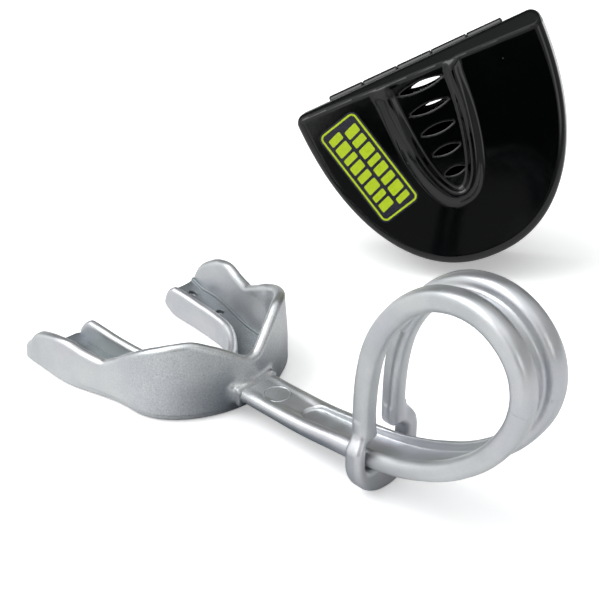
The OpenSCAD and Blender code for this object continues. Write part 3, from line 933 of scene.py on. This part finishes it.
# ---------------------------------------------------------------------------
# Frame links
# ---------------------------------------------------------------------------
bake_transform(guard)
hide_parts("guard_shell", "strap_socket")
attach(pad, "mouthguard")
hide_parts("bite_liner")
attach(strap, "strap")
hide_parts("strap_strip", "loop_feed")
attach(mark, "strap")
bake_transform(keeper)
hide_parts("loop_return", "keeper_ring")
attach(case, "case")
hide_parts("case_base")
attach(lid, "lid")
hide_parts("case_lid")
for part in badge:
    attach(part, "lid")
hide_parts("lid_badge")
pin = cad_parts["hinge_pin"]
pin.data.materials.clear()
pin.data.materials.append(STEEL)

# ---------------------------------------------------------------------------
# Floor
# ---------------------------------------------------------------------------
FLOOR_SIZE, FLOOR_Z, FLOOR_CELLS = 8, -0.0002, 24  # metres, metres, count per side


def build_floor():
    cells, row = FLOOR_CELLS, FLOOR_CELLS + 1
    mesh = bpy.data.meshes.new("floor")
    verts = [((i / cells - 0.5) * FLOOR_SIZE, (j / cells - 0.5) * FLOOR_SIZE, FLOOR_Z)
             for i in range(row) for j in range(row)]
    faces = [(i * row + j, (i + 1) * row + j, (i + 1) * row + j + 1, i * row + j + 1)
             for i in range(cells) for j in range(cells)]
    mesh.from_pydata(verts, [], faces)
    part = bpy.data.objects.new("floor", mesh)
    bpy.context.scene.collection.objects.link(part)
    mesh.materials.append(floor_paper("floor_white"))
    return part


build_floor()

# ---------------------------------------------------------------------------
# World: a studio painted on the sky, in degrees of azimuth and elevation
# ---------------------------------------------------------------------------
# azimuth, half width, elevation from, to, soft edge sideways, soft edge upright, level
SKY_PATCHES = (
    (-125, 48, 8, 58, 14, 10, 1.10),     # large soft window on the left of the view
    (25, 42, 2, 40, 16, 10, 0.36),       # softer one on the right
    (-142, 41, 38, 68, 14, 10, 4.1),     # strong box high on the left
    (-8, 12, 14, 33, 7, 5, 1.5),         # strip seen along the raised rim of the lid
    (136, 50, 10, 46, 16, 8, 0.05),      # unlit side of the room behind the set
    (-57, 17, -4, 17.6, 4, 1.0, 0.004),  # dark camera side, seen in the gloss
    (-50, 24, -10, 9.6, 6, 1.2, 0.17))   # dim low band on the camera side


def build_world():
    world = bpy.data.worlds.new("studio")
    bpy.context.scene.world = world
    sky = Graph(world, "ShaderNodeOutputWorld", "ShaderNodeBackground", "Generated")
    direction = sky.xyz()
    to_degrees = 57.29578
    elevation = sky.math("MULTIPLY", sky.math("ARCSINE", direction[2]), to_degrees)
    azimuth = sky.math("MULTIPLY", sky.math("ARCTAN2", direction[1], direction[0]), to_degrees)

    def patch(middle, half, low, high, soft, soft_up):
        """1 inside a patch of sky, fading to 0 over the soft edges."""
        # azimuth from the middle, wrapped to -180..180
        turn = sky.math("FLOORED_MODULO", sky.math("ADD", azimuth, 540.0 - middle), 360.0)
        turn = sky.math("ABSOLUTE", sky.math("SUBTRACT", turn, 180.0))
        sideways = sky.span(turn, half + soft, half)
        upright = sky.math("MULTIPLY", sky.span(elevation, low - soft_up, low),
                           sky.span(elevation, high + soft_up, high))
        return sky.math("MULTIPLY", sideways, upright)

    def paint(under, mask, level):
        kept = sky.math("MULTIPLY", under, sky.math("SUBTRACT", 1.0, mask))
        return sky.math("ADD", kept, sky.math("MULTIPLY", mask, level))

    glow = sky.span(elevation, start=28.0, end=74.0, low=0.45, high=1.20)
    for mask, level in [(patch(*shape), level) for *shape, level in SKY_PATCHES]:
        glow = paint(glow, mask, level)
    # pale corner with a slanted lower edge, seen at the hinge end of the lid
    edge = sky.math("MULTIPLY", sky.math("ADD", azimuth, 65.5), 2.0)
    slant = sky.math("SUBTRACT", elevation, sky.math("ADD", edge, 9.0))
    corner = sky.math("MULTIPLY", sky.span(slant, start=-0.6, end=0.6),
                      patch(middle=-62, half=14, low=6, high=22, soft=4, soft_up=3))
    glow = paint(glow, corner, level=0.95)

    # the camera itself sees an even white
    seen = sky.add("ShaderNodeLightPath").outputs["Is Camera Ray"]
    strength = sky.add("ShaderNodeMix", data_type="FLOAT")
    for i, value in ((0, seen), (2, glow), (3, 1.0)):
        sky.put(strength.inputs[i], value)
    sky.set(Strength=strength.outputs[0], Color=(0.985, 0.995, 1.0))


build_world()

# ---------------------------------------------------------------------------
# Camera, looking from +x, -y and above
# ---------------------------------------------------------------------------
VIEW_TURN, VIEW_RISE = math.radians(46.55), math.radians(30.7)
VIEW_DISTANCE = 400.0
SHIFT_RIGHT, SHIFT_UP = 12.247738, 29.784273  # places the scene origin in the view
SENSOR, LENS = 36.0, 86.22


def build_camera():
    sin_turn, cos_turn = math.sin(VIEW_TURN), math.cos(VIEW_TURN)
    sin_rise, cos_rise = math.sin(VIEW_RISE), math.cos(VIEW_RISE)
    back = np.array([sin_turn * cos_rise, -cos_turn * cos_rise, sin_rise])
    right = np.array([cos_turn, sin_turn, 0.0])
    upward = np.array([-sin_turn * sin_rise, cos_turn * sin_rise, cos_rise])
    eye = back * VIEW_DISTANCE + right * SHIFT_RIGHT + upward * SHIFT_UP
    data = bpy.data.cameras.new("camera")
    data.sensor_width, data.lens, data.clip_start = SENSOR, LENS, 0.01
    camera = bpy.data.objects.new("camera", data)
    bpy.context.scene.collection.objects.link(camera)
    rows = np.stack([right, upward, back, eye / 1000], 1).tolist()
    camera.matrix_world = Matrix(rows + [[0, 0, 0, 1]])
    bpy.context.scene.camera = camera


build_camera()
bpy.context.scene.view_settings.view_transform = "Standard"
